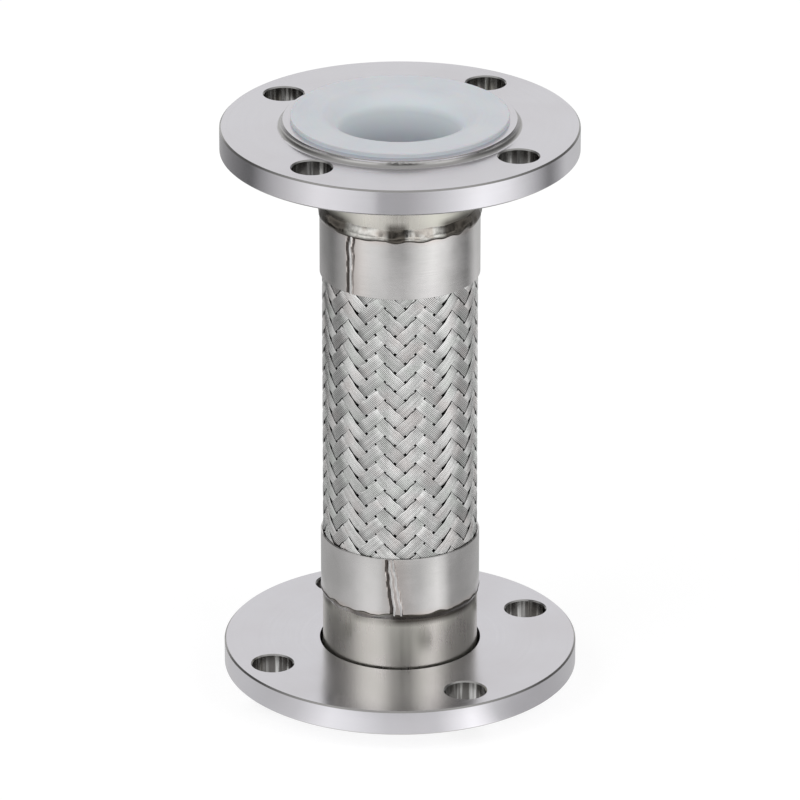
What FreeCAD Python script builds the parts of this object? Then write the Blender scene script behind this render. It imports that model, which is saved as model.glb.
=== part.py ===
import FreeCAD, Part
import math
import os

# Short flanged metal hose with a PTFE liner. All lengths are in millimetres and all angles in
# degrees. The hose stands on its loose flange's end: the origin is the centre of the lower
# sealing face, and +Z runs along the bore to the fixed flange.

# Whole hose, from sealing face to sealing face
overall_length = 224.0

# Flange plates, both on one bolt circle. The loose flange's holes are a little wider.
bolt_circle_r = 52.5
bolt_count = 4
fixed_hole_r = 7.2
loose_hole_r = 7.5
bolts_to_rim = 12.5
bolts_to_raised_face = 10.0
plate_thickness = 9.5
raised_face_height = 2.4
raised_face_fillet = 2.0
rim_chamfer = 0.6
hole_chamfer = 0.5
face_edge_chamfer = 0.3
fixed_bolt_angle = 53.5
loose_bolt_angle = 27.0

# Pipe necks and the lap ring that holds the loose flange on
neck_r = 28.5
neck_wall = 2.9
neck_mouth_round = 2.4
lap_ring_inset = 0.5
lap_ring_thickness = 3.0
lap_ring_edge_round = 0.4
lap_fillet = 2.5
loose_flange_float = 0.3
loose_bore_clearance = 1.2
loose_bore_chamfer = 2.0

# Ferrules, their seams and the welds
lower_neck_length = 36.6
upper_neck_length = 36.2
ferrule_length = 22.6
ferrule_wall = 0.6
ferrule_edge_round = 0.2
seam_bead_r = 0.9
seam_bead_height = 0.35
upper_seam_angle = 233.0
lower_seam_angle = 266.0
upper_weld_width = 4.3
upper_weld_height = 1.1
lower_weld_width = 1.8
lower_weld_height = 0.7
flange_weld_leg = 4.6
flange_weld_bulge = 0.7

# Woven wire braid, flush with the necks: flat strands, each passing over two and under two. The
# edge and the ramp where a strand dives are shares of half a strand's width.
braid_wall = 1.2
strand_pairs = 12
lay_length = 172.0
braid_tuck = 5.4
braid_phase = 266.4
strand_edge = 0.12
strand_ramp = 0.4
gap_drop = 0.9

# Corrugated metal hose under the braid
braid_to_bellows = 0.15
bellows_depth = 1.6
bellows_wall = 0.45
bellows_pitch = 8.0
bellows_collar = 4.0

# PTFE liner, flared over both ends
flare_thickness = 1.8
flare_edge_round = 0.5
fixed_flare_inset = 3.0
loose_flare_inset = 4.0
throat_wall = 3.2
throat_round = 7.5
fixed_throat_depth = 22.0
loose_throat_depth = 12.0
liner_wall = 1.5
liner_depth = 2.3
liner_pitch = 6.0

# Clearances between pieces that stay together
weld_gap = 0.05
liner_gap = 0.2

# Radii worked out from the sizes above
flange_r = bolt_circle_r + bolts_to_rim
raised_face_r = bolt_circle_r - bolts_to_raised_face
lap_ring_r = raised_face_r - lap_ring_inset
fixed_flare_r = raised_face_r - fixed_flare_inset
loose_flare_r = lap_ring_r - loose_flare_inset
neck_bore_r = neck_r - neck_wall
throat_r = neck_bore_r - liner_gap - throat_wall
braid_outer_r = neck_r
braid_inner_r = braid_outer_r - braid_wall
bellows_collar_r = braid_inner_r - braid_to_bellows - bellows_depth / 2

# Heights worked out from the sizes above
lap_face_z = flare_thickness
lap_back_z = lap_face_z + lap_ring_thickness
loose_face_z = lap_back_z + loose_flange_float
lower_joint_z = lap_face_z + lower_neck_length
lower_ferrule_top_z = lower_joint_z + ferrule_length
raised_top_z = overall_length - flare_thickness
fixed_back_z = raised_top_z - raised_face_height - plate_thickness
upper_joint_z = raised_top_z - upper_neck_length
upper_ferrule_bottom_z = upper_joint_z - ferrule_length

UP = FreeCAD.Vector(0, 0, 1)
ORIGIN = FreeCAD.Vector(0, 0, 0)


def at(r, z, angle=0.0):
    """The point at radius r and height z, turned by an angle about the hose's axis."""
    turn = math.radians(angle)
    return FreeCAD.Vector(r * math.cos(turn), r * math.sin(turn), z)


def turned(start, *steps):
    """Revolve a closed outline of (r, z) points. A step is an end point, or a middle and an end of an arc."""
    edges = []
    here = start
    for step in list(steps) + [start]:
        if isinstance(step[0], tuple):
            middle, end = step
            edges.append(Part.Arc(at(*here), at(*middle), at(*end)).toShape())
        else:
            end = step
            edges.append(Part.LineSegment(at(*here), at(*end)).toShape())
        here = end
    return Part.Face(Part.Wire(edges)).revolve(ORIGIN, UP, 360)


def corner_arc(centre, radius, from_angle, to_angle):
    """The middle and end of an arc about a centre, for a step of an outline."""
    def on_arc(angle):
        turn = math.radians(angle)
        return (centre[0] + radius * math.cos(turn), centre[1] + radius * math.sin(turn))
    return (on_arc((from_angle + to_angle) / 2), on_arc(to_angle))


def wave_steps(mean_r, swing, z_from, z_to, halves):
    """Arcs that swing by turns inward and outward of a radius, inward first and last."""
    steps = []
    half = (z_to - z_from) / halves
    for i in range(halves):
        side = -swing if i % 2 == 0 else swing
        z = z_from + i * half
        steps.append(((mean_r + side, z + half / 2), (mean_r, z + half)))
    return steps


def odd_halves(length, pitch):
    """The odd number of half waves that comes nearest to a pitch."""
    return 2 * max(0, round(length / pitch - 0.5)) + 1


def bolt_hole(radius):
    """A drill as deep as a plate, with a chamfer at each face."""
    wide = radius + hole_chamfer
    return turned((0, 0), (wide, 0), (radius, hole_chamfer), (radius, plate_thickness - hole_chamfer),
                  (wide, plate_thickness), (0, plate_thickness))


def flange(bore_r, bore_chamfer, hole_r):
    """A drilled flange, back face at height zero and raised face up."""
    top = plate_thickness + raised_face_height
    fillet = min(raised_face_fillet, raised_face_height - face_edge_chamfer)
    body = turned(
        (bore_r, 0), (flange_r - rim_chamfer, 0), (flange_r, rim_chamfer),
        (flange_r, plate_thickness - rim_chamfer), (flange_r - rim_chamfer, plate_thickness),
        (raised_face_r + fillet, plate_thickness),
        corner_arc((raised_face_r + fillet, plate_thickness + fillet), fillet, 270, 180),
        (raised_face_r, top - face_edge_chamfer), (raised_face_r - face_edge_chamfer, top),
        (bore_r + bore_chamfer, top), (bore_r, top - bore_chamfer))
    for i in range(bolt_count):
        hole = bolt_hole(hole_r)
        hole.translate(at(bolt_circle_r, 0, 360.0 * i / bolt_count))
        body = body.cut(hole)
    return body


def fixed_flange():
    """The flange that is welded to the upper neck, raised face up."""
    body = flange(neck_r + weld_gap, face_edge_chamfer, fixed_hole_r)
    body.rotate(ORIGIN, UP, fixed_bolt_angle)
    body.translate(FreeCAD.Vector(0, 0, fixed_back_z))
    return body


def loose_flange():
    """The flange that turns freely on the stub end, raised face down on the lap ring."""
    body = flange(neck_r + loose_bore_clearance, loose_bore_chamfer, loose_hole_r)
    body.rotate(ORIGIN, FreeCAD.Vector(1, 0, 0), 180)
    body.rotate(ORIGIN, UP, loose_bolt_angle)
    body.translate(FreeCAD.Vector(0, 0, loose_face_z + raised_face_height + plate_thickness))
    return body


def fixed_neck():
    """The pipe welded through the fixed flange, its mouth rounded for the liner."""
    mouth = min(neck_mouth_round, neck_wall - weld_gap)
    return turned(
        (neck_bore_r, upper_joint_z), (neck_r, upper_joint_z), (neck_r, raised_top_z),
        (neck_bore_r + mouth, raised_top_z),
        corner_arc((neck_bore_r + mouth, raised_top_z - mouth), mouth, 90, 180))


def stub_end():
    """The lower pipe with its lap ring, in one piece."""
    mouth = min(neck_mouth_round, neck_wall - weld_gap)
    edge = min(lap_ring_edge_round, lap_ring_thickness / 3)
    return turned(
        (neck_bore_r, lower_joint_z), (neck_bore_r, lap_face_z + mouth),
        corner_arc((neck_bore_r + mouth, lap_face_z + mouth), mouth, 180, 270),
        (lap_ring_r - edge, lap_face_z),
        corner_arc((lap_ring_r - edge, lap_face_z + edge), edge, 270, 360),
        (lap_ring_r, lap_back_z - edge),
        corner_arc((lap_ring_r - edge, lap_back_z - edge), edge, 0, 90),
        (neck_r + lap_fillet, lap_back_z),
        corner_arc((neck_r + lap_fillet, lap_back_z + lap_fillet), lap_fillet, 270, 180),
        (neck_r, lower_joint_z))


def flange_weld():
    """The fillet weld round the upper neck, under the fixed flange's back."""
    inner = neck_r + weld_gap
    outer = inner + flange_weld_leg
    low = fixed_back_z - flange_weld_leg
    bulge = flange_weld_leg / 2 + flange_weld_bulge
    crown = (inner + bulge, fixed_back_z - bulge)
    return turned((inner, fixed_back_z), (inner, low), (crown, (outer, fixed_back_z)))


def joint_weld(joint_z, width, height):
    """The bead from a ferrule's edge to the neck. A negative width runs down from the joint."""
    inner = neck_r + weld_gap
    return turned((inner, joint_z), (inner + ferrule_wall, joint_z),
                  ((inner + height, joint_z + width / 2), (inner, joint_z + width)))


def bellows_weld(joint_z, direction):
    """The hidden fillet ring that joins the bellows to a neck's end, inside the braid."""
    inner = bellows_collar_r + weld_gap
    leg = braid_inner_r - weld_gap - inner
    return turned((inner, joint_z), (inner + leg, joint_z), (inner, joint_z + direction * leg))


def ferrule(bottom_z, seam_angle):
    """A thin rolled band round the braid's end, with the bead of its lengthwise seam."""
    inner = braid_outer_r + weld_gap
    outer = inner + ferrule_wall
    top_z = bottom_z + ferrule_length
    edge = min(ferrule_edge_round, ferrule_wall / 3)
    band = turned(
        (inner, bottom_z), (outer - edge, bottom_z),
        corner_arc((outer - edge, bottom_z + edge), edge, 270, 360),
        (outer, top_z - edge), corner_arc((outer - edge, top_z - edge), edge, 0, 90), (inner, top_z))
    bead_centre = outer + seam_bead_height - seam_bead_r
    bead = Part.makeCylinder(seam_bead_r, ferrule_length, at(bead_centre, bottom_z, seam_angle), UP)
    bore = Part.makeCylinder(inner, ferrule_length, at(0, bottom_z), UP)
    return band.fuse(bead.cut(bore))


def bellows():
    """The corrugated metal hose that carries the pressure, with a plain collar at each end."""
    swing = bellows_depth / 2
    outer = bellows_collar_r
    inner = outer - bellows_wall
    bottom, top = lower_joint_z, upper_joint_z
    low, high = bottom + bellows_collar, top - bellows_collar
    halves = odd_halves(high - low, bellows_pitch)
    return turned((inner, bottom), (inner, low), *wave_steps(inner, swing, low, high, halves), (inner, top),
                  (outer, top), (outer, high), *wave_steps(outer, swing, high, low, halves), (outer, bottom))


def triangle(a, b, c):
    return Part.Face(Part.makePolygon([a, b, c, a]))


def braid():
    """The woven braid as one closed wall: a relief of flat strands, each over two and under two others.

    Columns run round the hose and rows up it. A gap between strands lies where column and row add
    up to an even number, and the crossing of two strands where they add up to an odd one. Strands
    that climb with the angle lie on top in columns 1 and 2 of every four, and the others in 3 and 4.
    """
    columns = 4 * strand_pairs
    column_angle = 360.0 / columns
    row_height = lay_length / columns
    pattern_z = lower_ferrule_top_z - braid_tuck
    last_row = math.ceil((upper_ferrule_bottom_z + braid_tuck - pattern_z) / row_height)
    collar_r = braid_outer_r - weld_gap

    def place(column, row, radius):
        return at(radius, pattern_z + row * row_height, braid_phase + column * column_angle)

    def gap(column, row):
        smooth = row <= 1 or row >= last_row
        return place(column, row, collar_r if smooth else braid_outer_r - gap_drop)

    def crossing(column, row):
        """The upper strand at one crossing: a flat top, steep edges, and a ramp down where it dives.

        The strand is flat over two crossings, this one and its partner, and dives past both.
        """
        climb = 1 if column % 4 in (1, 2) else -1
        partner = 1 if column % 2 else -1
        joined = 1 <= row + climb * partner <= last_row
        reach = {partner: 1.0 if joined else 1.0 - strand_ramp, -partner: 1.0 - strand_ramp}
        corners = [(-1, -1), (1, -1), (1, 1), (-1, 1)]
        rim, top = [], []
        for along, across in corners:
            rim.append(gap(column + (along + across) // 2, row + climb * (along - across) // 2))
            flat_along, flat_across = along * reach[along], across * (1.0 - strand_edge)
            top.append(place(column + (flat_along + flat_across) / 2,
                             row + climb * (flat_along - flat_across) / 2, braid_outer_r))
        faces = [triangle(top[0], top[1], top[3]), triangle(top[1], top[2], top[3])]
        for i in range(4):
            j = (i + 1) % 4
            if joined and corners[i][0] == corners[j][0] == partner:
                continue
            faces += [triangle(rim[i], rim[j], top[j]), triangle(rim[i], top[j], top[i])]
        return faces

    def collar(end_z, edge_row):
        """The plain wall between one end and the pattern's zigzag edge, with its ring-shaped end face."""
        rim = [at(collar_r, end_z, braid_phase + i * column_angle) for i in range(columns)]
        rim.append(rim[0])
        faces = []
        for i in range(columns):
            corners = [rim[i], rim[i + 1], gap(i + 1, edge_row(i + 1)), gap(i, edge_row(i)), rim[i]]
            faces.append(Part.Face(Part.makePolygon(corners)))
        hole = Part.Face(Part.Wire(Part.makeCircle(braid_inner_r, at(0, end_z), UP)))
        faces.append(Part.Face(Part.makePolygon(rim)).cut(hole).Faces[0])
        return faces

    faces = []
    for row in range(1, last_row + 1):
        for column in range((row + 1) % 2, columns, 2):
            faces += crossing(column, row)
    faces += collar(lower_joint_z, lambda column: column % 2)
    faces += collar(upper_joint_z, lambda column: last_row + (column + last_row) % 2)
    length = upper_joint_z - lower_joint_z
    faces.append(Part.makeCylinder(braid_inner_r, length, at(0, lower_joint_z), UP).Faces[0])
    wall = Part.Compound(faces)
    wall.sewShape()
    return Part.Solid(wall.Shells[0])


def ptfe_liner():
    """The convoluted liner, its two ends flared flat over the raised face and the lap ring."""
    outer = neck_bore_r - liner_gap
    mouth = neck_mouth_round + liner_gap
    swing = liner_depth / 2
    edge = min(flare_edge_round, flare_thickness / 3)
    top = overall_length
    low, high = loose_throat_depth, top - fixed_throat_depth
    halves = odd_halves(high - low, liner_pitch)
    return turned(
        (loose_flare_r - edge, 0), corner_arc((loose_flare_r - edge, edge), edge, 270, 360),
        (loose_flare_r, flare_thickness), (outer + mouth, flare_thickness),
        corner_arc((outer + mouth, flare_thickness + mouth), mouth, 270, 180),
        (outer, low), (throat_r + liner_wall, low),
        *wave_steps(throat_r + liner_wall, swing, low, high, halves),
        (outer, high), (outer, top - flare_thickness - mouth),
        corner_arc((outer + mouth, top - flare_thickness - mouth), mouth, 180, 90),
        (fixed_flare_r, top - flare_thickness), (fixed_flare_r, top - edge),
        corner_arc((fixed_flare_r - edge, top - edge), edge, 0, 90),
        (throat_r + throat_round, top),
        corner_arc((throat_r + throat_round, top - throat_round), throat_round, 90, 180),
        (throat_r, high), *wave_steps(throat_r, swing, high, low, halves),
        (throat_r, throat_round), corner_arc((throat_r + throat_round, throat_round), throat_round, 180, 270))


def sub_parts():
    """Every piece by its name."""
    return {
        "fixed_flange": fixed_flange(),
        "loose_flange": loose_flange(),
        "fixed_neck": fixed_neck(),
        "stub_end": stub_end(),
        "flange_weld": flange_weld(),
        "upper_weld": joint_weld(upper_joint_z, upper_weld_width, upper_weld_height),
        "lower_weld": joint_weld(lower_joint_z, -lower_weld_width, lower_weld_height),
        "upper_ferrule": ferrule(upper_ferrule_bottom_z, upper_seam_angle),
        "lower_ferrule": ferrule(lower_joint_z, lower_seam_angle),
        "upper_bellows_weld": bellows_weld(upper_joint_z, -1),
        "lower_bellows_weld": bellows_weld(lower_joint_z, 1),
        "bellows": bellows(),
        "braid": braid(),
        "ptfe_liner": ptfe_liner(),
    }


os.makedirs("parts", exist_ok=True)
for name, shape in sub_parts().items():
    if shape.Volume < 0:
        shape.reverse()
    print(name, "valid", shape.isValid(), "solids", len(shape.Solids), "faces", len(shape.Faces),
          "volume", round(shape.Volume))
    shape.exportStep("parts/" + name + ".step")
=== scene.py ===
import math
import random

import bpy
import numpy as np
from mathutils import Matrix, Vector

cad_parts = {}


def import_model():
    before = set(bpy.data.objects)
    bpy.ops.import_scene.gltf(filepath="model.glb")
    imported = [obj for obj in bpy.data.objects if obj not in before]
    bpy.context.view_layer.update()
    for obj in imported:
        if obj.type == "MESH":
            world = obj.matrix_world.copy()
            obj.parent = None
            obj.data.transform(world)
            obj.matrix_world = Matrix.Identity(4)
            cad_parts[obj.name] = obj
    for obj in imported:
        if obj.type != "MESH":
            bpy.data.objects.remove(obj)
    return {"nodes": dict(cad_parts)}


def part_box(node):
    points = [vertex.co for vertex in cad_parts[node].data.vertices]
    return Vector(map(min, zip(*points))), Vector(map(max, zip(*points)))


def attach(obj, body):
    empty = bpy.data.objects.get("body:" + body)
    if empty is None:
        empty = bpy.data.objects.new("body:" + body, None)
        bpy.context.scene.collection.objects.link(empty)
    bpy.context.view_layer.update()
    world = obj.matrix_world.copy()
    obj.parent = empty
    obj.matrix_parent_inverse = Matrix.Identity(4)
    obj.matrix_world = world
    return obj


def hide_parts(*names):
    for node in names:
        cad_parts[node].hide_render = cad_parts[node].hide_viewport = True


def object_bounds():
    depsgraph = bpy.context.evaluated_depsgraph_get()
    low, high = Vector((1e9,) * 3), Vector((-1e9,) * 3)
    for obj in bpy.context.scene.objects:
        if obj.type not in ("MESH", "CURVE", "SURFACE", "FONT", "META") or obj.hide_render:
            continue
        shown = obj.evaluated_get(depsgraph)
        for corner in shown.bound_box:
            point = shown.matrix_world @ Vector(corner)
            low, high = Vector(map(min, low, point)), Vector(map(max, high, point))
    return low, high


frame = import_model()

# Looks of a short flanged metal hose with a white liner, with its lighting and camera.
# Named lengths are in millimetres and angles in degrees; meshes and places are in metres.
MM = 0.001
cad_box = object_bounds()

# Camera: it looks along +Y and down on the hose, as in the photograph
camera_elevation = 23.3
camera_distance = 2600.0
camera_reach = 100000.0
sensor_width = 36.0
filled_share = 0.88  # of the frame's height

# Braid: flat strands of parallel wires, each over two others and under two
strands_each_way = 24
lay_length = 172.0
braid_phase = 266.4
pattern_bottom = 55.6
braid_seed = 7
strand_top_r = 28.42
strand_lift = 0.36  # how far a strand rises and sinks from its middle height
lift_range = (0.9, 1.0)  # shares of strand_lift
middle_of_over = 1.5  # in crossings
strand_squareness = 0.5  # a smaller number gives a steeper step from over to under
strand_thickness = 0.34
strand_width = 4.5
width_range = (0.985, 1.025)  # shares of strand_width
strand_swell = 0.28  # how much wider a strand is at a crossing
underside_share = 0.97  # of the width
stations_per_crossing = 5
strand_wander = 0.08
sway_share = 0.6  # of strand_wander, the part that changes along a strand
sway_rates = (0.2, 0.5)  # radians per crossing
sway_phases = (0, 6.3)  # radians
wires_per_strand = 8
wire_ridge = 0.16  # depth of the valleys between wires
edge_wire_drop = 0.12
edge_wire_power = 4  # a larger number keeps the drop nearer the edges
least_tone = 0.2
wire_tone_spread = 0.6
strand_tone_spread = 0.25

# Weld beads, with their unevenness as shares
bead_steps = 720
bead_points = 12
bead_gap = 0.02
bead_lip = 0.05
bead_overlap = 1.0
toe_spread = 0.1
lap_least, lap_mean, lap_spread = 0.1, 0.5, 0.4
crown_mean, crown_spread, crown_ripple = 0.8, 0.18, 0.1
crown_shift = 1.5  # above 1, the crown is nearer the ferrule
base_slope = 1.25  # above 1, the base reaches the ferrule's height before the edge
ripple_slip = 0.5
# Painted shade where a bead laps onto its ferrule.
lap_shade = 0.9
fillet_seed = 31
fillet_gap = 0.05
fillet_bulge, fillet_spread, fillet_ripple = 0.5, 0.12, 0.04
fillet_reach = 0.99  # of the solid's leg
bulge_share = 0.5  # outward, and the same downward

# Ferrules and their seams
ferrule_wall = 0.6
ferrule_gap = 0.05
ferrule_edge = 0.2
ferrule_stations = 16
band_step = 1.5
seam_step = 0.16
seam_reach_left, seam_reach_right = 7.0, 12.0
seam_height = 0.36
seam_crook = 0.45
crook_rate = 3
ridge_spread = 0.25
groove_width = 1.2
groove_depth = 0.38
crease_angle = 38

# Stains, heat tints and painted shade, from 0 to 1
# Painted shade in the seam's grooves, darker for the larger one.
groove_shade, groove_shade_by_size = 0.6, 0.4
seam_stain, seam_stain_at, seam_stain_reach = 0.4, 2, 8.0
weld_stain, weld_stain_spread, weld_stain_reach = 0.35, 0.2, 2.2
between_ridges_stain = 0.45
stainless_rise = 0.1  # a ridge higher than this is clean
heat_start, heat_reach = 0.7, 3.0  # from a weld along its pipe
# Darkness by angle round the hose beside the welds: partly heat tint, partly painted shade and
# painted reflection.
upper_tint_and_shade = [(0, 0.5), (195, 0.9), (224, 0.9), (236, 0.1), (258, 0.05), (263, 0.85),
                 (273, 0.75), (277, 0.05), (298, 0.1), (306, 0.85), (340, 0.8)]
lower_tint_and_shade = [(0, 0.5), (205, 0.7), (211, 0.1), (230, 0.15), (236, 0.55), (250, 0.3),
                 (262, 0.5), (268, 0.95), (325, 0.95), (350, 0.5)]


def box_mm(node):
    """A CAD node's lowest and highest corners, in millimetres."""
    low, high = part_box(node)
    return Vector(low) / MM, Vector(high) / MM


def new_object(name, data):
    """An object in the scene around a mesh, a lamp or a camera."""
    made = bpy.data.objects.new(name, data)
    bpy.context.scene.collection.objects.link(made)
    return made


def new_piece(name, vertices, faces, nodes, material):
    """A closed mesh on the hose, from points in millimetres, that takes the place of CAD nodes."""
    vertices = np.asarray(vertices) * MM
    first, second, third = (vertices[[face[k] for face in faces]] for k in range(3))
    if np.einsum("ij,ij->i", first, np.cross(second, third)).sum() < 0:
        faces = [face[::-1] for face in faces]
    mesh = bpy.data.meshes.new(name)
    mesh.from_pydata(vertices.tolist(), [], faces)
    mesh.update()
    mesh.shade_smooth()
    mesh.materials.append(material)
    piece = new_object(name, mesh)
    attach(piece, "hose")
    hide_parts(*nodes)
    return piece


def store(piece, label, values):
    """Keep one number per point on a mesh, for its material."""
    layer = piece.data.attributes.new(label, "FLOAT", "POINT")
    layer.data.foreach_set("value", np.clip(values, 0, 1).astype(np.float32))


# Materials


def grey(tone):
    return tone, tone, tone, 1


class Shader:
    """The nodes of a new material, or of a world, with short ways to add and join them."""

    def __init__(self, name, owner=None):
        self.material = owner or bpy.data.materials.new(name)
        self.material.use_nodes = True
        self.tree = self.material.node_tree
        self.surface = self.tree.nodes.get("Principled BSDF")

    def put(self, socket, value):
        """Join another node's output to a socket, or set a plain value on it."""
        if isinstance(value, bpy.types.NodeSocket):
            self.tree.links.new(value, socket)
        else:
            socket.default_value = value

    def add(self, kind, inputs=None, **settings):
        """A new node. Its settings come first, because they can change its inputs."""
        made = self.tree.nodes.new("ShaderNode" + kind)
        for key, value in settings.items():
            setattr(made, key, value)
        for key, value in (inputs or {}).items():
            self.put(made.inputs[key], value)
        return made

    def math(self, operation, a, b=0.0):
        return self.add("Math", {0: a, 1: b}, operation=operation).outputs[0]

    def place(self):
        """The point in the object's own frame, in millimetres."""
        here = self.add("TexCoord").outputs["Object"]
        return self.add("VectorMath", {0: here, "Scale": 1 / MM}, operation="SCALE").outputs[0]

    def height(self, vector):
        return self.add("SeparateXYZ", {0: vector}).outputs["Z"]

    def stretched(self, vector, scales):
        return self.add("VectorMath", {0: vector, 1: scales}, operation="MULTIPLY").outputs[0]

    def radius(self, vector):
        """A point's distance from the hose's axis."""
        flat = self.stretched(vector, (1, 1, 0))
        return self.add("VectorMath", {0: flat}, operation="LENGTH").outputs["Value"]

    def noise(self, vector, scale, detail=3.0, roughness=0.5):
        inputs = {"Vector": vector, "Scale": scale, "Detail": detail, "Roughness": roughness}
        return self.add("TexNoise", inputs).outputs["Fac"]

    def line_noise(self, number, scale, detail=3.0):
        """Noise along one number, as turning leaves it."""
        inputs = {"W": number, "Scale": scale, "Detail": detail}
        return self.add("TexNoise", inputs, noise_dimensions="1D").outputs["Fac"]

    def ranged(self, number, low, high, to_low, to_high):
        """A number that goes from to_low to to_high while another goes from low to high."""
        inputs = {0: number, 1: low, 2: high, 3: to_low, 4: to_high}
        return self.add("MapRange", inputs).outputs[0]

    def blend(self, share, first, second):
        """The second colour laid over the first by a share. The keys are Mix's colour sockets."""
        inputs = {0: share, 6: first, 7: second}
        return self.add("Mix", inputs, data_type="RGBA").outputs[2]

    def attribute(self, name):
        return self.add("Attribute", attribute_name=name).outputs["Fac"]

    def sectors(self, vector, bands):
        """A grey that changes with the direction round the hose.

        bands are (degrees, tone) pairs, from 0 degrees up.
        """
        x_y = self.add("SeparateXYZ", {0: vector}).outputs
        angle = self.math("ARCTAN2", x_y["Y"], x_y["X"])
        turn = self.math("DIVIDE", angle, 2 * math.pi)
        ramp = self.add("ValToRGB", {0: self.math("FRACT", self.math("ADD", turn, 1.0))})
        points = ramp.color_ramp.elements
        points.remove(points[1])
        points[0].position = 0.0
        points[0].color = grey(bands[0][1])
        for degrees, tone in bands[1:] + [(360, bands[0][1])]:
            points.new(degrees / 360).color = grey(tone)
        return ramp.outputs[0]

    def bump(self, height, distance):
        return self.add("Bump", {"Height": height, "Distance": distance * MM}).outputs["Normal"]

    def done(self, **inputs):
        """Set the Principled shader's inputs and give the material."""
        for key, value in inputs.items():
            self.put(self.surface.inputs[key.replace("_", " ")], value)
        return self.material

    def done_with(self, surface):
        """Put another shader in the Principled one's place and give the material."""
        self.put(self.tree.nodes["Material Output"].inputs["Surface"], surface)
        self.tree.nodes.remove(self.surface)
        return self.material


def flange_steel():
    """Turned plate: satin with cloudy patches, round edges painted darker as shade, and bolt-hole
    walls painted with dark shade and bright reflection streaks.
    """
    s = Shader("flange_steel_turned")
    plain, bright, patch = (0.73, 0.72, 0.755, 1), (0.745, 0.735, 0.77, 1), (0.69, 0.665, 0.69, 1)
    # The bolt-hole walls' two colours are painted shade and painted reflection.
    hole_shade, hole_reflection = (0.13, 0.125, 0.12, 1), (0.58, 0.58, 0.57, 1)
    # Chamfers, fillets and round edges are painted darker as shade, which damps their highlights.
    edge_shade = (0.38, 0.375, 0.36, 1)
    holes_from_r, holes_to_r = 44.0, 62.0
    here = s.place()
    radius = s.radius(here)
    ring = s.math("ADD", radius, s.height(here))
    coarse = s.line_noise(ring, scale=0.8, detail=2.0)
    fine = s.line_noise(ring, scale=5.0)
    patches = s.noise(here, scale=0.035)
    color = s.blend(s.ranged(coarse, 0.3, 0.7, 0, 1), plain, bright)
    color = s.blend(s.ranged(patches, 0.4, 0.7, 0, 0.5), color, patch)
    # Upright streaks of painted shade and painted reflection on the bolt-hole walls.
    streaks = s.noise(s.stretched(here, (1, 1, 0.06)), scale=0.55, detail=2.0)
    hole_shade_and_reflection = s.blend(s.ranged(streaks, 0.46, 0.64, 0, 1), hole_shade, hole_reflection)
    slope = s.math("ABSOLUTE", s.height(s.add("NewGeometry").outputs["Normal"]))
    upright = s.ranged(slope, 0.3, 0.5, 1, 0)
    between = s.math("MULTIPLY", s.math("GREATER_THAN", radius, holes_from_r),
                     s.math("LESS_THAN", radius, holes_to_r))
    color = s.blend(s.math("MULTIPLY", upright, between), color, hole_shade_and_reflection)
    # Painted shade on sloped faces: chamfers, fillets and round edges.
    edge_shade_share = s.math("MULTIPLY", s.ranged(slope, 0.06, 0.2, 0, 0.85),
                     s.ranged(slope, 0.93, 0.99, 1, 0))
    color = s.blend(edge_shade_share, color, edge_shade)
    rough = s.math("ADD", s.ranged(fine, 0.3, 0.7, 0.18, 0.205),
                   s.ranged(patches, 0.35, 0.7, -0.02, 0.05))
    rings = s.bump(s.math("ADD", s.math("MULTIPLY", coarse, 0.5), fine), 0.0003)
    tangent = s.add("Tangent", direction_type="RADIAL", axis="Z").outputs[0]
    return s.done(Base_Color=color, Metallic=1.0, Roughness=rough, Normal=rings, Tangent=tangent,
                  Anisotropic=0.6, Anisotropic_Rotation=0.25)


def pipe_steel(name, weld_toe, tint_and_shade):
    """Drawn pipe: satin with faint lengthwise lines and olive patches, darkened beside its weld by
    heat tint and by painted shade and reflection that change with the angle.

    weld_toe is the height where the weld ends on the pipe; the last argument has (degrees, stain)
    pairs of heat tint and of painted shade and reflection.
    """
    s = Shader(name)
    plain, bright = (0.68, 0.655, 0.605, 1), (0.72, 0.695, 0.645, 1)
    olive, burnt_and_shade = (0.67, 0.67, 0.59, 1), (0.085, 0.075, 0.065, 1)
    here = s.place()
    streaks = s.noise(s.stretched(here, (1, 1, 0.05)), scale=1.0)
    cloud = s.noise(here, scale=0.06, detail=2.0)
    color = s.blend(s.ranged(streaks, 0.3, 0.7, 0, 1), plain, bright)
    color = s.blend(s.ranged(cloud, 0.4, 0.65, 0, 0.6), color, olive)
    from_weld = s.math("ABSOLUTE", s.math("SUBTRACT", s.height(here), weld_toe))
    near_weld = s.ranged(from_weld, heat_start, heat_reach, 1, 0)
    # Heat tint and painted shade and reflection near the weld, by angle.
    color = s.blend(s.math("MULTIPLY", near_weld, s.sectors(here, tint_and_shade)), color, burnt_and_shade)
    rough = s.math("ADD", s.ranged(streaks, 0.3, 0.7, 0.25, 0.30),
                   s.ranged(cloud, 0.4, 0.7, 0.0, 0.05))
    return s.done(Base_Color=color, Metallic=1.0, Roughness=rough,
                  Normal=s.bump(streaks, 0.0004))


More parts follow.
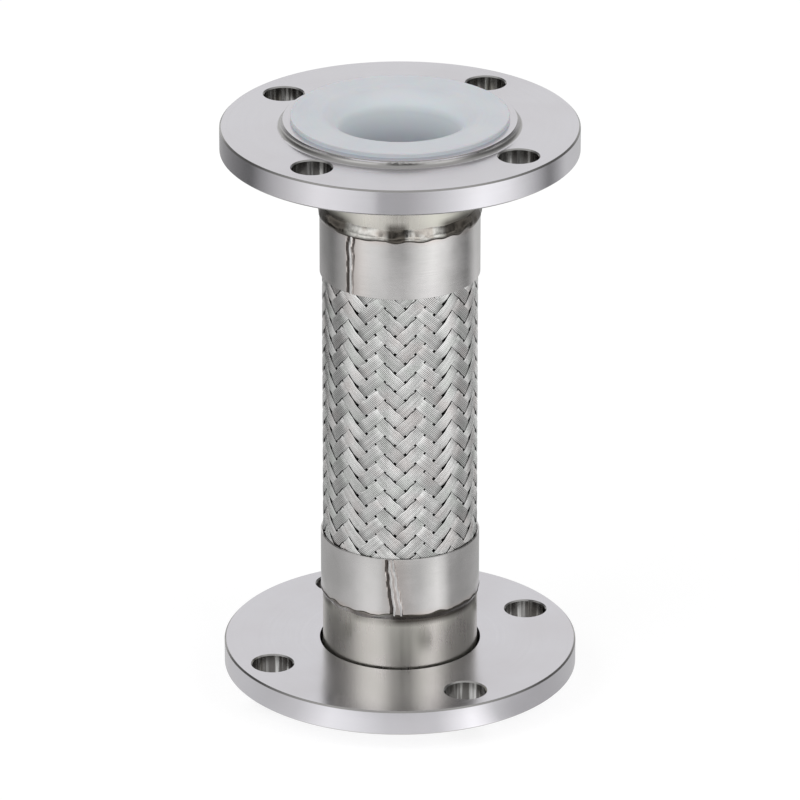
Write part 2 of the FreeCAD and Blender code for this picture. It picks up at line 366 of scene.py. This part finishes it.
def ferrule_steel():
    """Rolled band: smooth, faintly brushed round the hose, stained beside its seam and weld, with
    painted shade in the seam's grooves.
    """
    s = Shader("ferrule_steel_rolled")
    plain, bright = (0.66, 0.65, 0.64, 1), (0.72, 0.705, 0.70, 1)
    pink, burnt_and_shade = (0.68, 0.60, 0.56, 1), (0.045, 0.038, 0.033, 1)
    here = s.place()
    brushed = s.noise(s.stretched(here, (0.1, 0.1, 2.0)), scale=1.0)
    cloud = s.noise(here, scale=0.09, detail=2.0)
    stain_and_shade = s.attribute("stain_and_shade")
    color = s.blend(s.ranged(cloud, 0.35, 0.65, 0, 1), plain, bright)
    color = s.blend(s.ranged(stain_and_shade, 0.05, 0.55, 0, 0.75), color, pink)
    # The darkest range is painted shade in the seam's grooves.
    color = s.blend(s.ranged(stain_and_shade, 0.55, 1.0, 0, 0.9), color, burnt_and_shade)
    rough = s.math("ADD", s.ranged(brushed, 0.3, 0.7, 0.14, 0.19),
                   s.ranged(cloud, 0.35, 0.65, 0.0, 0.04))
    return s.done(Base_Color=color, Metallic=1.0, Roughness=rough,
                  Normal=s.bump(brushed, 0.0015))


def braid_wire():
    """Drawn wire: bright crests, valleys and downward sides painted dark as shade, each wire of
    its own tone.
    """
    s = Shader("braid_wire_drawn")
    dull, bright = (0.64, 0.64, 0.63, 1), (1.0, 1.0, 0.99, 1)
    rosy, greenish = (0.78, 0.71, 0.69, 1), (0.69, 0.74, 0.69, 1)
    valley_shade, underside_shade = grey(0.22), grey(0.10)
    here = s.place()
    crest = s.attribute("crest")
    tone = s.attribute("tone")
    grit = s.noise(here, scale=1.4)
    tint = s.noise(here, scale=0.12, detail=2.0)
    color = s.blend(tone, dull, bright)
    color = s.blend(s.ranged(tint, 0.5, 0.7, 0, 0.5), color, rosy)
    color = s.blend(s.ranged(tint, 0.5, 0.3, 0, 0.5), color, greenish)
    # Painted shade in the valleys between wires.
    color = s.blend(s.ranged(crest, 0.0, 0.4, 0.45, 0.0), color, valley_shade)
    # Painted shade on the faces that point down.
    upward = s.height(s.add("NewGeometry").outputs["Normal"])
    color = s.blend(s.ranged(upward, -0.3, 0.0, 0.8, 0.0), color, underside_shade)
    rough = s.math("ADD", s.ranged(tone, 0, 1, 0.22, 0.14), s.ranged(grit, 0.4, 0.7, 0.0, 0.06))
    return s.done(Base_Color=color, Metallic=1.0, Roughness=rough, Normal=s.bump(grit, 0.004))


def weld_bead():
    """Weld metal: rippled and bright, with brown and greenish tints where it was hottest, darkened
    by heat tint and by painted shade where the stain number says.
    """
    s = Shader("weld_bead_rippled")
    dull, bright = (0.52, 0.51, 0.48, 1), (0.74, 0.73, 0.70, 1)
    brown, greenish, burnt_and_shade = (0.38, 0.32, 0.27, 1), (0.58, 0.61, 0.53, 1), (0.07, 0.062, 0.052, 1)
    here = s.place()
    lumps = s.noise(here, scale=0.7, roughness=0.6)
    tint = s.noise(here, scale=0.14, detail=2.0)
    stain_and_shade = s.attribute("stain_and_shade")
    color = s.blend(s.ranged(lumps, 0.3, 0.7, 0, 1), dull, bright)
    color = s.blend(s.ranged(tint, 0.5, 0.62, 0, 0.5), color, brown)
    color = s.blend(s.ranged(tint, 0.46, 0.32, 0, 0.5), color, greenish)
    # Heat tint, and painted shade at the lap, at the joint and by angle.
    color = s.blend(s.ranged(stain_and_shade, 0.1, 0.75, 0, 0.96), color, burnt_and_shade)
    return s.done(Base_Color=color, Metallic=1.0, Roughness=s.ranged(lumps, 0.3, 0.7, 0.12, 0.24),
                  Normal=s.bump(lumps, 0.02))


def shaded_bellows():
    """The corrugated hose under the weave: formed sheet, painted dark as the shade under the
    braid.
    """
    s = Shader("bellows_painted_shade")
    # Dark colours that stand for the shade under the braid.
    deep_shade, dull = (0.09, 0.09, 0.09, 1), (0.15, 0.15, 0.14, 1)
    cloud = s.noise(s.place(), scale=0.3)
    color = s.blend(s.ranged(cloud, 0.35, 0.65, 0, 1), deep_shade, dull)
    return s.done(Base_Color=color, Metallic=1.0, Roughness=s.ranged(cloud, 0.3, 0.7, 0.45, 0.6),
                  Normal=s.bump(cloud, 0.02))


def milky_plastic():
    """Waxy fluoroplastic: bluish white, faint turned rings, light passes a little way in, with
    painted light near the mouth and painted shade deep in the bore.
    """
    s = Shader("ptfe_milky")
    bluish, pale = (0.635, 0.665, 0.71, 1), (0.68, 0.70, 0.735, 1)
    # Painted light near the mouth and painted shade down the throat.
    lit_mouth, throat_shade = (0.84, 0.89, 0.92, 1), (0.38, 0.405, 0.44, 1)
    light_depth = 2.0
    here = s.place()
    rings = s.line_noise(s.math("ADD", s.radius(here), s.height(here)), scale=1.0, detail=2.0)
    cloud = s.noise(here, scale=0.05, detail=2.0)
    low, high = box_mm("ptfe_liner")
    half = (high.z - low.z) / 2
    from_middle = s.math("ABSOLUTE", s.math("SUBTRACT", s.height(here), low.z + half))
    depth = s.math("SUBTRACT", half, from_middle)
    lit_mouth_share = s.math("MULTIPLY", s.ranged(depth, 0.5, 5, 0, 1), s.ranged(depth, 9, 18, 1, 0))
    color = s.blend(s.ranged(cloud, 0.35, 0.65, 0, 1), bluish, pale)
    color = s.blend(lit_mouth_share, color, lit_mouth)
    color = s.blend(s.ranged(depth, 14, 30, 0, 0.6), color, throat_shade)
    return s.done(Base_Color=color, Roughness=s.ranged(rings, 0.3, 0.7, 0.34, 0.44),
                  Normal=s.bump(rings, 0.015), IOR=1.38, Subsurface_Weight=0.3,
                  Subsurface_Scale=light_depth * MM)


# Braid


def strand(index, direction, rng):
    """One strand's points, with a row for each station, and each line's crest and tone numbers.

    The strand climbs with the angle, or falls where direction is -1.
    """
    low, high = box_mm("braid")
    columns = 2 * strands_each_way
    row_height = lay_length / columns
    lean = math.atan2(2 * math.pi * strand_top_r, lay_length)
    low_row = (low.z - pattern_bottom) / row_height
    high_row = (high.z - pattern_bottom) / row_height
    stations = round((high_row - low_row) * stations_per_crossing) + 1
    row = np.linspace(low_row, high_row, stations)
    column = direction * row + 2 * index + 1
    wave = direction * np.cos((column - middle_of_over) * math.pi / 2)
    flat = (wave / np.sqrt(wave ** 2 + strand_squareness ** 2)
            * math.sqrt(1 + strand_squareness ** 2))
    lift = strand_lift * rng.uniform(*lift_range) * np.clip(flat, -1, 1)
    top_r = strand_top_r - strand_lift + lift
    half = (strand_width / 2 * rng.uniform(*width_range)
            + strand_swell / 2 * np.cos(2 * math.pi * column))
    drift = (rng.uniform(-1, 1)
             + sway_share * np.sin(column * rng.uniform(*sway_rates) + rng.uniform(*sway_phases)))
    angle = np.radians(braid_phase + column * 360 / columns)
    z = pattern_bottom + row * row_height
    top_lines = 2 * wires_per_strand + 1
    tones = [rng.random() for _ in range(wires_per_strand)]
    own_tone = rng.uniform(-strand_tone_spread, strand_tone_spread)
    points, crest, tone = [], [], []

    def add_line(share, radius, is_crest, own):
        offset = share * half + strand_wander * drift
        turn = angle + offset * math.cos(lean) / strand_top_r
        height = np.clip(z - direction * offset * math.sin(lean), low.z, high.z)
        points.append(np.stack([radius * np.cos(turn), radius * np.sin(turn), height], axis=1))
        crest.append(is_crest)
        tone.append(own)

    for k in range(top_lines):
        share = 2 * k / (top_lines - 1) - 1
        is_crest = k % 2
        drop = edge_wire_drop * abs(share) ** edge_wire_power + wire_ridge * (1 - is_crest)
        wire = min(k // 2, wires_per_strand - 1)
        add_line(share, top_r - drop, is_crest,
                 least_tone + wire_tone_spread * tones[wire] + own_tone)
    # The underside lines get the least tone and no crest, so they are painted dark as shade.
    for side in (underside_share, -underside_share):
        add_line(side, top_r - strand_thickness, 0, least_tone)
    return np.stack(points, axis=1), crest, tone


def woven_strands(name, direction, indices, rng, material):
    """Strands of one direction as one piece, each a closed ribbon with creases between wires."""
    vertices, faces, crests, tones = [], [], [], []
    first = 0
    for index in indices:
        points, crest, tone = strand(index, direction, rng)
        stations, loop, _ = points.shape
        last = first + (stations - 1) * loop
        vertices.append(points.reshape(-1, 3))
        crests += crest * stations
        tones += tone * stations
        for start in range(first, last, loop):
            for j in range(loop):
                k = (j + 1) % loop
                faces.append((start + j, start + k, start + loop + k, start + loop + j))
        faces.append(tuple(range(first, first + loop))[::-1])
        faces.append(tuple(range(last, last + loop)))
        first = last + loop
    piece = new_piece(name, np.concatenate(vertices), faces, ["braid"], material)
    store(piece, "crest", crests)
    store(piece, "tone", tones)
    crease_valleys(piece.data, loop)


def crease_valleys(mesh, loop):
    """Sharp edges along the lines between wires, so that each wire is shaded round."""
    ends = np.empty(2 * len(mesh.edges), dtype=np.int64)
    mesh.edges.foreach_get("vertices", ends)
    lines = ends.reshape(-1, 2) % loop
    top_lines = 2 * wires_per_strand + 1
    lengthwise = lines[:, 0] == lines[:, 1]
    valley_or_underside = (lines[:, 0] % 2 == 0) | (lines[:, 0] >= top_lines)
    sharp = mesh.attributes.new("sharp_edge", "BOOLEAN", "EDGE")
    sharp.data.foreach_set("value", lengthwise & valley_or_underside)


def braid(material):
    """All strands: half of each direction in a piece."""
    rng = random.Random(braid_seed)
    half = strands_each_way // 2
    for label, direction in (("rising", 1), ("falling", -1)):
        for part, indices in (("_a", range(half)), ("_b", range(half, strands_each_way))):
            woven_strands("strands_" + label + part, direction, indices, rng, material)


# Welds and ferrules


def ring_piece(name, node, angles, outline_at, material):
    """A closed ring in a CAD node's place.

    outline_at gives the ring's (r, z, stain and painted shade) points at an angle in radians.
    """
    rows = [outline_at(angle) for angle in angles]
    loop = len(rows[0])
    vertices, stain_and_shade_values, faces = [], [], []
    for i, (angle, row) in enumerate(zip(angles, rows)):
        following = (i + 1) % len(rows) * loop
        for j, (r, z, stain_and_shade) in enumerate(row):
            vertices.append((r * math.cos(angle), r * math.sin(angle), z))
            stain_and_shade_values.append(stain_and_shade)
            k = (j + 1) % loop
            faces.append((i * loop + j, i * loop + k, following + k, following + j))
    piece = new_piece(name, vertices, faces, [node], material)
    store(piece, "stain_and_shade", stain_and_shade_values)
    piece.data.set_sharp_from_angle(angle=math.radians(crease_angle))


def weld_ring(name, node, outline_at, material):
    """A ring of weld metal with equal steps all round."""
    angles = [2 * math.pi * i / bead_steps for i in range(bead_steps)]
    ring_piece(name, node, angles, outline_at, material)


def unevenness(rng, lowest, highest):
    """A function of the angle, mostly from -1 to 1.

    It adds up waves that go round the ring from lowest to less than highest times.
    """
    calm = 1.6
    waves = [(count, rng.uniform(0, 2 * math.pi), rng.uniform(0.4, 1.0))
             for count in range(lowest, highest)]
    total = math.sqrt(sum(size ** 2 for _, _, size in waves) / 2)

    def value(angle):
        return sum(size * math.sin(count * angle + phase)
                   for count, phase, size in waves) / total / calm

    return value


def joint_bead(name, node, upward, crown, ripple_count, tint_and_shade, seed, material):
    """The uneven bead that runs from a ferrule's edge onto a neck.

    The angle list has (degrees, stain) pairs of heat tint and of painted shade and reflection.
    """
    rng = random.Random(seed)
    low, high = box_mm(node)
    inner = box_mm("fixed_neck")[1].x + bead_gap
    lip = inner + ferrule_wall + bead_lip
    joint, toe = (low.z, high.z) if upward else (high.z, low.z)
    wide, tall = unevenness(rng, 3, 18), unevenness(rng, 4, 40)
    lap, slip = unevenness(rng, 5, 30), unevenness(rng, 5, 30)
    places, stain_and_shade_values = zip(*tint_and_shade)

    def outline(angle):
        own_toe = joint + (toe - joint) * (1 + toe_spread * wide(angle))
        overlap = bead_overlap * max(lap_least, lap_mean + lap_spread * lap(angle))
        own_lap = joint - math.copysign(overlap, toe - joint)
        beat = (angle * ripple_count / (2 * math.pi) + ripple_slip * slip(angle)) % 1.0
        own_crown = crown * (crown_mean + crown_spread * tall(angle)
                             + crown_ripple * math.sin(math.pi * beat))
        own_stain_and_shade = np.interp(math.degrees(angle), places, stain_and_shade_values)
        points = []
        for k in range(bead_points):
            u = k / (bead_points - 1)
            base = inner + (lip - inner) * min(1.0, base_slope * u)
            swell = math.sin(math.pi * u ** crown_shift)
            # The lap edge and the joint are painted dark as shade in the crease.
            stain_and_shade = lap_shade if k >= bead_points - 2 else own_stain_and_shade
            points.append((base + own_crown * swell, own_toe + (own_lap - own_toe) * u, stain_and_shade))
        return points + [(lip - bead_gap, joint, 1.0), (inner, joint, 1.0)]

    weld_ring(name, node, outline, material)


def flange_fillet(material):
    """The smooth fillet weld under the fixed flange, with faint ripples."""
    rng = random.Random(fillet_seed)
    low, high = box_mm("flange_weld")
    inner = box_mm("fixed_neck")[1].x + fillet_gap
    leg, tall = high.x - inner, high.z - low.z
    swell, beat = unevenness(rng, 3, 12), unevenness(rng, 60, 90)

    def outline(angle):
        points = [(inner, high.z, 0.0)]
        bulge = fillet_bulge + fillet_spread * swell(angle) + fillet_ripple * beat(angle)
        for k in range(bead_points):
            u = k / (bead_points - 1)
            out = math.sin(math.pi * u) * bulge
            points.append((inner + leg * u * fillet_reach + out * bulge_share,
                           low.z + tall * u - out * bulge_share * (1 - u), 0.0))
        return points

    weld_ring("flange_fillet", "flange_weld", outline, material)


def ferrule_band(name, node, seam_at, ridge_half, spread_at, right_at, seed, material):
    """A rolled band with a raised, slightly crooked seam of one or two ridges in grooves painted
    dark as shade.

    At a share of the height, seam_at gives the seam's angle, spread_at the distance between the
    ridges, and right_at the size of the right groove beside the left one's.
    """
    rng = random.Random(seed)
    low, high = box_mm(node)
    inner = box_mm("fixed_neck")[1].x + ferrule_gap
    outer = inner + ferrule_wall
    wobble, thickness = unevenness(rng, 2, 9), unevenness(rng, 2, 14)
    middle = (seam_at(0.0) + seam_at(1.0)) / 2
    weld_above = node == "upper_ferrule"

    def surface(angle, share):
        """How far the band's wall stands out, and its heat tint and painted groove shade at a
        place.
        """
        crook = share * crook_rate
        away = outer * (angle - math.radians(seam_at(share) + seam_crook * wobble(crook)))
        half = ridge_half * (1 + ridge_spread * thickness(crook))
        last = spread_at(share)
        rise = 0.0
        for ridge in (0.0, last):
            if abs(away - ridge) < half:
                rise = max(rise, seam_height * math.cos(math.pi / 2 * (away - ridge) / half))
        # The grooves are painted dark as shade.
        for past, size in ((-away - half, 1.0), (away - last - half, right_at(share))):
            across = past / (size * groove_width)
            if 0 < across < 1:
                return (-size * groove_depth * math.sin(math.pi * across),
                        groove_shade + groove_shade_by_size * size)
        if rise > stainless_rise:
            return rise, 0.0
        by_seam = seam_stain * max(0.0, 1 - abs(away - seam_stain_at) / seam_stain_reach)
        to_weld = (high.z - low.z) * (1 - share if weld_above else share)
        by_weld = ((weld_stain + weld_stain_spread * thickness(angle))
                   * (1 - to_weld / weld_stain_reach))
        between = between_ridges_stain if 0 < away < last else 0.0
        return rise, max(by_seam, by_weld, between)

    def outline(angle):
        points = [(inner, high.z, 0.0), (inner, low.z, 0.0), (outer - ferrule_edge, low.z, 0.0)]
        for k in range(ferrule_stations):
            share = k / (ferrule_stations - 1)
            rise, stain_and_shade = surface(angle, share)
            z = low.z + ferrule_edge + (high.z - low.z - 2 * ferrule_edge) * share
            points.append((outer + rise, z, stain_and_shade))
        points.append((outer - ferrule_edge, high.z, 0.0))
        return points

    near = np.arange(middle - seam_reach_left, middle + seam_reach_right, seam_step)
    far = np.arange(near[-1] + seam_step, near[0] + 360, band_step)
    angles = np.radians(np.concatenate([near, far])).tolist()
    ring_piece(name, node, angles, outline, material)


# Stage


def stage_floor():
    """A large pale floor: white behind the object, with the object's soft shadow."""
    size = 12.0
    drop = 0.2
    mesh = bpy.data.meshes.new("floor")
    corners = [(-size, -size, 0), (size, -size, 0), (size, size, 0), (-size, size, 0)]
    mesh.from_pydata(corners, [], [(0, 1, 2, 3)])
    mesh.materials.append(floor_material())
    floor = new_object("floor", mesh)
    floor.location.z = -drop * MM


def floor_material():
    """Pale floor: what the camera and mirrors see is lifted to white, apart from the shadow."""
    s = Shader("floor_pale")
    bounced_tone = 0.62
    shadow_depth = 0.32
    just_white = 1.02
    light_on_floor = 0.74
    cloud = s.ranged(s.noise(s.place(), scale=0.004, detail=2.0), 0.3, 0.7, 0.98, 1.0)
    path = s.add("LightPath").outputs
    seen = s.math("MAXIMUM", s.math("MAXIMUM", path["Is Camera Ray"], path["Is Glossy Ray"]),
                  path["Is Transmission Ray"])
    pale = s.blend(seen, grey(bounced_tone), grey(shadow_depth))
    plain = s.add("BsdfDiffuse", {"Color": pale}).outputs[0]
    lift = s.math("MULTIPLY", seen, just_white - shadow_depth * light_on_floor)
    strength = s.math("MULTIPLY", lift, cloud)
    glow = s.add("Emission", {"Color": grey(1), "Strength": strength}).outputs[0]
    return s.done_with(s.add("AddShader", {0: plain, 1: glow}).outputs[0])


def reflector_ring(name, inner_r, outer_r, bands):
    """A flat ring of dark and white sectors on the floor, seen only in the metal.

    It stands for a studio's flags and cards. bands are (degrees, tone) pairs.
    """
    steps = 180
    vertices, faces = [], []
    for i in range(steps):
        turn = 2 * math.pi * i / steps
        for r in (inner_r, outer_r):
            vertices.append((r * MM * math.cos(turn), r * MM * math.sin(turn), 0.0))
        j = (i + 1) % steps
        faces.append((2 * i, 2 * i + 1, 2 * j + 1, 2 * j))
    mesh = bpy.data.meshes.new(name)
    mesh.from_pydata(vertices, [], faces)
    s = Shader(name + "_sectors")
    glow = s.add("Emission", {"Color": s.sectors(s.place(), bands), "Strength": 1.0}).outputs[0]
    mesh.materials.append(s.done_with(glow))
    ring = new_object(name, mesh)
    for setting in ("camera", "diffuse", "transmission", "volume_scatter", "shadow"):
        setattr(ring, "visible_" + setting, False)


def reflectors():
    """Rings of cards on the floor. What stands higher on the hose mirrors a ring further out."""
    loose_rim = [(0, 0.55), (150, 0.6), (190, 0.65), (210, 0.6), (225, 0.7), (240, 1.1),
                 (250, 1.0), (265, 0.75), (285, 0.75), (300, 1.4), (305, 1.2), (312, 0.65),
                 (320, 0.5), (340, 0.5)]
    lower_ferrule = [(0, 0.35), (40, 0.45), (180, 0.45), (205, 0.6), (225, 0.9), (240, 0.85),
                     (250, 0.55), (270, 0.45), (295, 0.6), (320, 1.1), (330, 0.85), (340, 0.4)]
    middle = [(0, 0.7), (20, 0.45), (50, 1.0), (90, 0.8), (140, 0.65), (165, 0.45), (195, 0.6),
              (225, 0.4), (240, 0.45), (260, 1.15), (280, 1.15), (300, 0.55), (315, 0.4),
              (330, 0.5), (345, 0.75)]
    upper_ferrule = [(0, 0.3), (20, 0.2), (40, 0.65), (90, 0.5), (160, 0.2), (180, 0.4),
                     (205, 0.65), (215, 0.95), (240, 0.85), (255, 0.5), (275, 0.4), (300, 1.1),
                     (315, 1.3), (335, 0.85), (350, 0.45)]
    fixed_rim = [(0, 0.6), (15, 0.2), (35, 0.65), (90, 0.5), (165, 0.1), (190, 0.6), (220, 1.1),
                 (240, 0.9), (255, 0.75), (257, 0.4), (275, 0.4), (300, 0.8), (320, 1.25),
                 (340, 1.1), (350, 0.85)]
    edges = [68.0, 103.0, 175.0, 385.0, 500.0, 4000.0]
    for number, bands in enumerate([loose_rim, lower_ferrule, middle, upper_ferrule, fixed_rim]):
        reflector_ring("reflector_" + str(number + 1), edges[number], edges[number + 1], bands)


def world():
    """White to the camera, a plain dimmer light on the object, and soft grey sectors in the metal.

    The metal sees level low down, raised above it, and one overhead tone from high above.
    """
    diffuse_light = 0.62
    overhead_tone = 0.68
    level_end, raised_start = 0.05, 0.22
    raised_end, overhead_start = 0.55, 0.85
    level = [(0, 1.0), (15, 1.0), (30, 0.4), (60, 0.5), (90, 0.65), (135, 0.9), (165, 1.1),
             (185, 1.1), (200, 0.5), (215, 0.35), (240, 0.5), (250, 1.4), (260, 1.7), (290, 1.7),
             (305, 1.0), (315, 0.5), (330, 0.2), (350, 0.3)]
    raised = [(0, 0.2), (25, 0.15), (50, 0.25), (65, 0.8), (115, 0.8), (130, 0.25), (155, 0.1),
              (180, 0.25), (195, 0.5), (210, 1.1), (230, 1.3), (245, 1.15), (255, 0.5),
              (270, 0.1), (285, 0.1), (295, 0.75), (310, 1.35), (325, 1.25), (340, 0.5),
              (350, 0.25)]
    scene_world = bpy.data.worlds.new("studio")
    bpy.context.scene.world = scene_world
    s = Shader("studio", scene_world)
    path = s.add("LightPath").outputs
    direction = s.add("TexCoord").outputs["Generated"]
    height = s.height(direction)
    sides = s.blend(s.ranged(height, level_end, raised_start, 0, 1),
                    s.sectors(direction, level), s.sectors(direction, raised))
    mirrored = s.blend(s.ranged(height, raised_end, overhead_start, 0, 1),
                       sides, grey(overhead_tone))
    background = s.tree.nodes["Background"]
    s.put(background.inputs["Color"], s.blend(path["Is Glossy Ray"], grey(1), mirrored))
    s.put(background.inputs["Strength"], s.ranged(path["Is Diffuse Ray"], 0, 1, 1, diffuse_light))


def softbox(name, place, width, power):
    """A square area lamp that faces the hose, in metres and watts.

    The metal doesn't mirror it, so that nothing flat turns white.
    """
    aim = (0, 0, 0.11)
    lamp = bpy.data.lights.new(name, "AREA")
    lamp.size, lamp.energy = width, power
    holder = new_object(name, lamp)
    holder.location = place
    holder.rotation_mode = "QUATERNION"
    holder.rotation_quaternion = (Vector(place) - Vector(aim)).to_track_quat("Z", "Y")
    holder.visible_glossy = False


def camera():
    """The photograph's view, with the hose filling most of the frame's height."""
    low, high = cad_box
    centre = (Vector(low) + Vector(high)) / 2
    tilt = math.radians(camera_elevation)
    back = Vector((0, -math.cos(tilt), math.sin(tilt)))
    seen_height = (high.z - low.z) * math.cos(tilt) + (high.y - low.y) * math.sin(tilt)
    data = bpy.data.cameras.new("camera")
    data.sensor_width = sensor_width
    data.lens = sensor_width * camera_distance * MM * filled_share / seen_height
    data.clip_end = camera_reach * MM
    made = new_object("camera", data)
    made.location = centre + back * camera_distance * MM
    made.rotation_mode = "QUATERNION"
    made.rotation_quaternion = back.to_track_quat("Z", "Y")
    bpy.context.scene.camera = made


def dress(nodes, material):
    """Give CAD nodes a material in all their slots."""
    for name in nodes:
        mesh = frame["nodes"][name].data
        mesh.materials.clear()
        mesh.materials.append(material)


dress(["fixed_flange", "loose_flange"], flange_steel())
dress(["fixed_neck"], pipe_steel("pipe_steel_upper", box_mm("upper_weld")[1].z, upper_tint_and_shade))
dress(["stub_end"], pipe_steel("pipe_steel_lower", box_mm("lower_weld")[0].z, lower_tint_and_shade))
dress(["bellows", "upper_bellows_weld", "lower_bellows_weld"], shaded_bellows())
dress(["ptfe_liner"], milky_plastic())

braid(braid_wire())
bead_metal = weld_bead()
joint_bead("upper_bead", "upper_weld", upward=True, crown=0.55, ripple_count=56,
           tint_and_shade=upper_tint_and_shade, seed=11, material=bead_metal)
joint_bead("lower_bead", "lower_weld", upward=False, crown=0.22, ripple_count=60,
           tint_and_shade=lower_tint_and_shade, seed=12, material=bead_metal)
flange_fillet(bead_metal)
band_metal = ferrule_steel()
ferrule_band("upper_band", "upper_ferrule", seam_at=lambda share: 232.5, ridge_half=0.75,
             spread_at=lambda share: 0.0, right_at=lambda share: 0.25 + 0.75 * share,
             seed=21, material=band_metal)
ferrule_band("lower_band", "lower_ferrule", seam_at=lambda share: 266.0 - 4.0 * share,
             ridge_half=0.5, spread_at=lambda share: 2.6 - 1.3 * share,
             right_at=lambda share: 0.3, seed=22, material=band_metal)

stage_floor()
reflectors()
world()
softbox("key_lamp", (-1.5, -1.3, 1.9), width=1.4, power=12.5)
softbox("fill_lamp", (1.5, -1.2, 1.7), width=1.2, power=8.0)
bpy.context.scene.view_settings.view_transform = "Standard"
camera()
